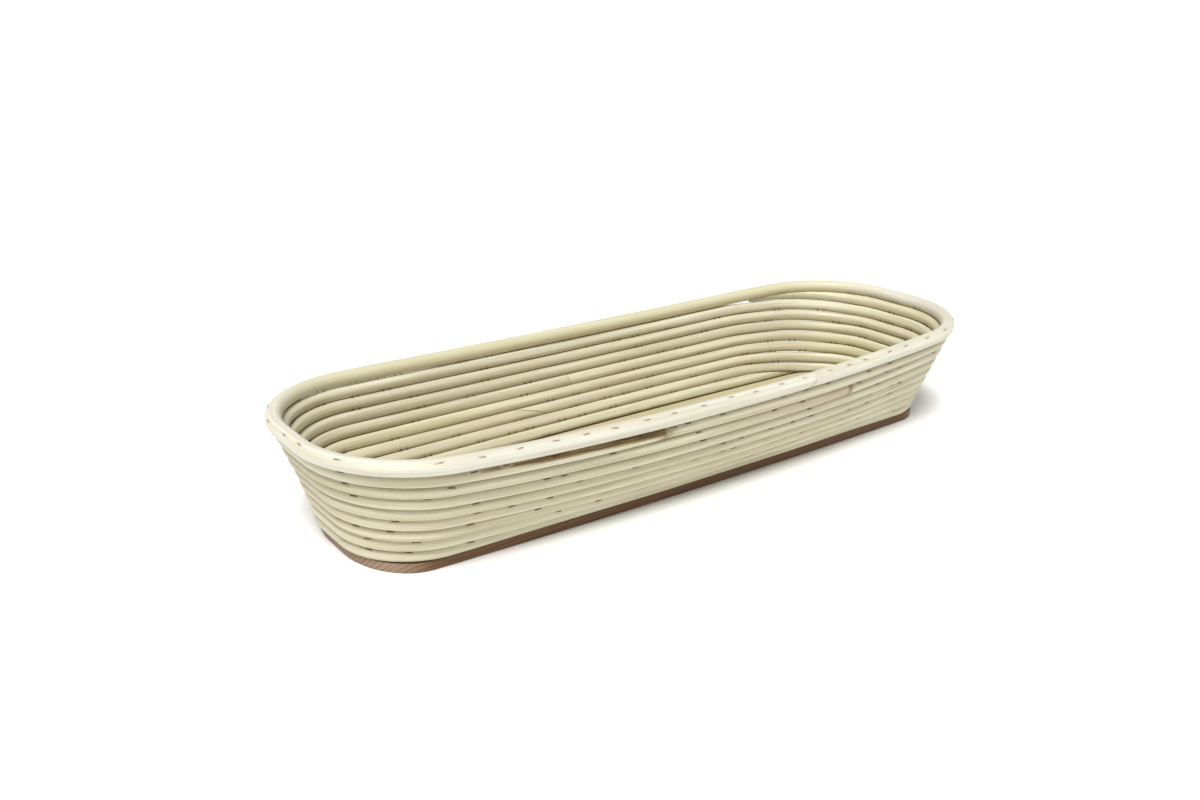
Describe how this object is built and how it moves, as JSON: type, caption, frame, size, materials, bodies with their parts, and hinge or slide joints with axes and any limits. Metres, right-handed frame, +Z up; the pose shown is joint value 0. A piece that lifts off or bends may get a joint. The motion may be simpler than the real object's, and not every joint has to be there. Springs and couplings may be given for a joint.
{
  "type": "proofing basket",
  "caption": "Long oblong bread proofing basket: flared wall of coiled round rattan cane with a thicker rim cane, stapled to a flat wooden base board.",
  "frame": {"origin": "centre of the footprint, on the underside of the wooden base board", "axes": "+X along the length of the basket, +Y across its width, +Z up out of its open top"},
  "size_m": [0.466, 0.172, 0.071],
  "materials": {
    "wall_rattan": "natural peeled rattan, satin",
    "rim_rattan": "natural peeled rattan, paler, satin",
    "board_wood": "sanded solid wood, untreated",
    "staple_wire": "fine staple wire, dulled"
  },
  "bodies": {
    "root": {"base_board": "board_wood", "rim_cane": "rim_rattan", "rim_staple_01": "staple_wire", "rim_staple_02": "staple_wire", "rim_staple_03": "staple_wire", "rim_staple_04": "staple_wire", "rim_staple_05": "staple_wire", "rim_staple_06": "staple_wire", "rim_staple_07": "staple_wire", "rim_staple_08": "staple_wire", "rim_staple_09": "staple_wire", "rim_staple_10": "staple_wire", "rim_staple_11": "staple_wire", "rim_staple_12": "staple_wire", "rim_staple_13": "staple_wire", "rim_staple_14": "staple_wire", "rim_staple_15": "staple_wire", "rim_staple_16": "staple_wire", "rim_staple_17": "staple_wire", "rim_staple_18": "staple_wire", "rim_staple_19": "staple_wire", "rim_staple_20": "staple_wire", "rim_staple_21": "staple_wire", "rim_staple_22": "staple_wire", "rim_staple_23": "staple_wire", "rim_staple_24": "staple_wire", "turn_1_staple_1": "staple_wire", "turn_1_staple_2": "staple_wire", "turn_1_staple_3": "staple_wire", "turn_2_staple_1": "staple_wire", "turn_2_staple_2": "staple_wire", "turn_2_staple_3": "staple_wire", "turn_3_staple_1": "staple_wire", "turn_3_staple_2": "staple_wire", "turn_3_staple_3": "staple_wire", "turn_4_staple_1": "staple_wire", "turn_4_staple_2": "staple_wire", "turn_4_staple_3": "staple_wire", "turn_5_staple_1": "staple_wire", "turn_5_staple_2": "staple_wire", "turn_5_staple_3": "staple_wire", "turn_6_staple_1": "staple_wire", "turn_6_staple_2": "staple_wire", "turn_6_staple_3": "staple_wire", "turn_7_staple_1": "staple_wire", "turn_7_staple_2": "staple_wire", "turn_7_staple_3": "staple_wire", "turn_8_staple_1": "staple_wire", "turn_8_staple_2": "staple_wire", "turn_8_staple_3": "staple_wire", "wall_cane_length_1_part_1": "wall_rattan", "wall_cane_length_1_part_2": "wall_rattan", "wall_cane_length_1_part_3": "wall_rattan", "wall_cane_length_1_part_4": "wall_rattan", "wall_cane_length_1_part_5": "wall_rattan", "wall_cane_length_1_part_6": "wall_rattan", "wall_cane_length_2": "wall_rattan", "wall_cane_length_3": "wall_rattan", "wall_cane_length_4": "wall_rattan", "wall_cane_length_5": "wall_rattan"}
  },
  "joints": []
}
